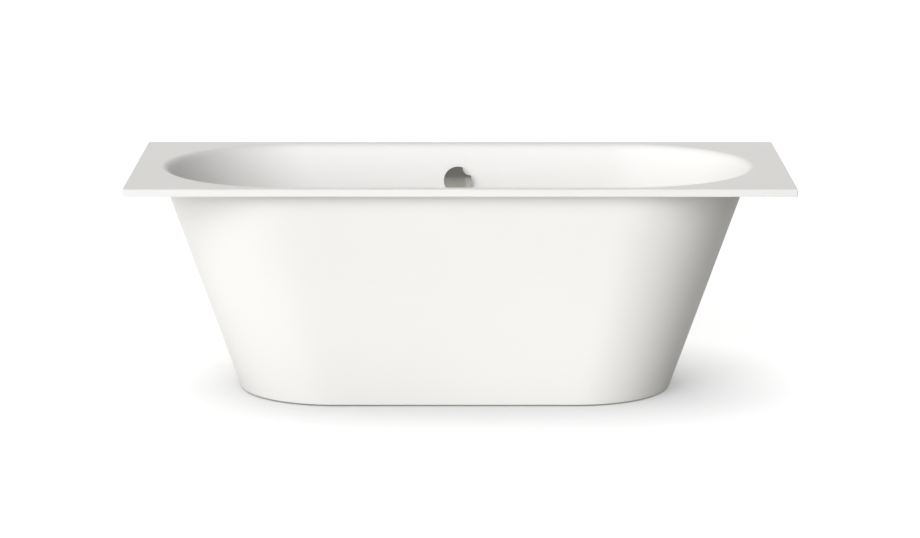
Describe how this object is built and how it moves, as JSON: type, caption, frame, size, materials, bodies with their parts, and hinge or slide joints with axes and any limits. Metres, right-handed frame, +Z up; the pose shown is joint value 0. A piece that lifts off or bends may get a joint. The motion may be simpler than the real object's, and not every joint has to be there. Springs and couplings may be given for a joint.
{
  "type": "built-in bathtub",
  "caption": "White built-in bathtub with a rectangular deck, stadium-shaped bowl, tapering seamless skirt and a turning overflow knob that lifts the waste plug.",
  "frame": {"origin": "on the floor, under the middle of the deck rectangle", "axes": "+X along the length to the right seen from the front, +Y to the wall behind (overflow side), +Z up"},
  "size_m": [1.7, 0.75, 0.59],
  "materials": {
    "acrylic_white": "white sanitary acrylic, smooth, semi-gloss",
    "plywood": "sealed birch plywood",
    "zinc_steel": "bright zinc plate",
    "pad_black": "moulded, fine grain",
    "chrome": "polished chrome plate",
    "rubber_black": "matt",
    "plastic_white": "injection-moulded, satin",
    "plastic_grey": "injection-moulded, satin",
    "brass": "turned, bare",
    "cable_black": "smooth sheath"
  },
  "bodies": {
    "tub": {"tub_shell": "acrylic_white", "outer_skirt": "acrylic_white", "base_board": "plywood", "deck_board_left": "plywood", "deck_board_right": "plywood", "deck_batten_front": "plywood", "deck_batten_rear": "plywood", "cross_rail_left": "zinc_steel", "cross_rail_right": "zinc_steel", "skirt_screws": "zinc_steel", "rail_screws": "zinc_steel", "rail_nuts": "zinc_steel", "foot_lock_nuts": "zinc_steel", "waste_flange": "chrome", "waste_gasket_upper": "rubber_black", "waste_gasket_lower": "rubber_black", "trap_seal": "rubber_black", "outlet_seal": "rubber_black", "overflow_gasket": "rubber_black", "waste_body": "plastic_white", "trap_cup": "plastic_white", "outlet_pipe": "plastic_white", "overflow_body": "plastic_white", "overflow_flange": "plastic_white", "overflow_pipe": "plastic_grey", "outlet_nut": "plastic_grey", "overflow_nut_lower": "plastic_grey", "overflow_nut_upper": "plastic_grey", "cable_clips": "plastic_grey", "bowden_cable": "cable_black"},
    "overflow_knob_body": {"overflow_knob": "chrome", "overflow_spindle": "brass"},
    "plug": {"plug_cap": "chrome", "plug_seal": "rubber_black", "plug_stem": "brass"},
    "lift_lever_body": {"lift_lever": "plastic_grey"},
    "foot_front_left": {"foot_stem_front_left": "zinc_steel", "foot_pad_front_left": "pad_black"},
    "foot_rear_left": {"foot_stem_rear_left": "zinc_steel", "foot_pad_rear_left": "pad_black"},
    "foot_front_right": {"foot_stem_front_right": "zinc_steel", "foot_pad_front_right": "pad_black"},
    "foot_rear_right": {"foot_stem_rear_right": "zinc_steel", "foot_pad_rear_right": "pad_black"}
  },
  "joints": [
    {"name": "knob_turn", "type": "hinge", "parent": "tub", "child": "overflow_knob_body", "pos_m": [-0.006, 0.30675, 0.493], "axis": [0, -0.9701, 0.2425], "range_deg": [0, 90]},
    {"name": "plug_lift", "type": "slide", "parent": "tub", "child": "plug", "axis": [0, 0, 1], "range_m": [0, 0.01]},
    {"name": "lever_swing", "type": "hinge", "parent": "tub", "child": "lift_lever_body", "pos_m": [-0.006, -0.02, 0.0995], "axis": [1, 0, 0], "range_deg": [0, 25]},
    {"name": "foot_height_front_left", "type": "slide", "parent": "tub", "child": "foot_front_left", "axis": [0, 0, -1], "range_m": [-0.003, 0.015]},
    {"name": "foot_height_rear_left", "type": "slide", "parent": "tub", "child": "foot_rear_left", "axis": [0, 0, -1], "range_m": [-0.003, 0.015]},
    {"name": "foot_height_front_right", "type": "slide", "parent": "tub", "child": "foot_front_right", "axis": [0, 0, -1], "range_m": [-0.003, 0.015]},
    {"name": "foot_height_rear_right", "type": "slide", "parent": "tub", "child": "foot_rear_right", "axis": [0, 0, -1], "range_m": [-0.003, 0.015]}
  ],
  "couplings": [
    {"joint": "knob_turn", "follows": "plug_lift", "rad_per_m": 157.08},
    {"joint": "lever_swing", "follows": "plug_lift", "rad_per_m": 43.633}
  ]
}
